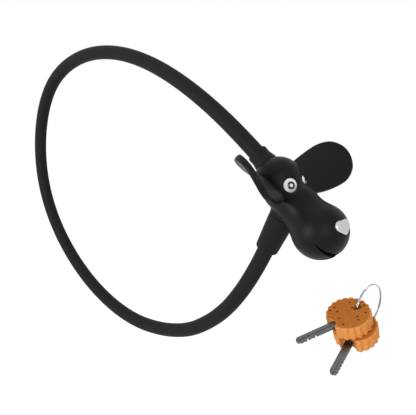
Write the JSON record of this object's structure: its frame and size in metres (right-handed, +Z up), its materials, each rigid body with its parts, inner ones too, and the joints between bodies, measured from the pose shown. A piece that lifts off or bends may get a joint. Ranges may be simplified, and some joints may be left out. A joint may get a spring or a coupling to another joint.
{
  "type": "cable luggage lock",
  "caption": "Rubber-covered cable lock with a floppy-eared dog head lock body, a plug-in cable end and biscuit-shaped keys on a split ring.",
  "frame": {"origin": "centre of the cable loop", "axes": "+X in the plane of the loop, from the loop's centre towards the lock head; +Y square to the loop's plane, towards the dog's left ear; +Z up in the plane of the loop"},
  "size_m": [0.3204, 0.1826, 0.2183],
  "materials": {
    "die_cast_zinc": "as cast, satin",
    "brass": "machined",
    "nickel_zinc": "nickel plated",
    "spring_steel": "bright wire",
    "hard_steel": "ground",
    "steel_ferrule": "swaged, zinc plated",
    "black_rubber": "matte silicone",
    "white_plastic": "glossy",
    "black_plastic": "glossy",
    "satin_silver": "satin silver",
    "cable_silicone": "matte silicone",
    "steel_rope": "galvanised strands",
    "ring_steel": "nickel plated",
    "key_steel": "stamped, dull nickel",
    "biscuit_rubber": "soft matte orange"
  },
  "bodies": {
    "head": {"lock_body": "die_cast_zinc", "cylinder_sleeve": "brass", "latch_cap": "hard_steel", "fixed_ferrule": "steel_ferrule", "anchor_pin": "hard_steel", "socket_bush": "brass", "head_skin": "black_rubber", "left_ear": "black_rubber", "right_ear": "black_rubber", "left_eye": "white_plastic", "right_eye": "white_plastic", "left_pupil": "black_plastic", "right_pupil": "black_plastic", "nose_button": "satin_silver", "cable_boot": "black_rubber", "cable_sleeve": "cable_silicone", "cable_core": "steel_rope"},
    "cylinder": {"rotor": "nickel_zinc", "wafers": "brass", "wafer_springs": "spring_steel", "cam": "brass"},
    "latch": {"latch_plate": "hard_steel"},
    "plug": {"plug_pin": "hard_steel", "plug_ferrule": "steel_ferrule", "plug_sleeve": "black_rubber"},
    "key_ring": {"split_ring": "ring_steel"},
    "key_1": {"key_1_blade": "key_steel", "key_1_biscuit": "biscuit_rubber"},
    "key_2": {"key_2_blade": "key_steel", "key_2_biscuit": "biscuit_rubber"}
  },
  "joints": [
    {"name": "turn_cylinder", "type": "hinge", "parent": "head", "child": "cylinder", "pos_m": [0.16067, 0, 0.01385], "axis": [0.8192, 0, -0.5736], "range_deg": [0, 90]},
    {"name": "slide_latch", "type": "slide", "parent": "head", "child": "latch", "axis": [0, -1, 0], "range_m": [0, 0.0024]},
    {"name": "pull_plug", "type": "slide", "parent": "head", "child": "plug", "axis": [-0.4067, 0, -0.9135], "range_m": [0, 0.024], "deforming": ["cable_sleeve", "cable_core"]},
    {"name": "lift_keys", "type": "slide", "parent": "head", "child": "key_ring", "axis": [0, 0, 1], "range_m": [0, 0.05]},
    {"name": "swing_key_1", "type": "hinge", "parent": "key_ring", "child": "key_1", "pos_m": [0.1476, 0.11729, -0.0776], "axis": [-0.9973, 0.0727, -0.014], "range_deg": [0, 50]},
    {"name": "swing_key_2", "type": "hinge", "parent": "key_ring", "child": "key_2", "pos_m": [0.1476, 0.11729, -0.0776], "axis": [0.9973, -0.0727, 0.014], "range_deg": [0, 50]}
  ],
  "couplings": [
    {"joint": "slide_latch", "follows": "turn_cylinder", "m_per_rad": 0.0015278}
  ]
}
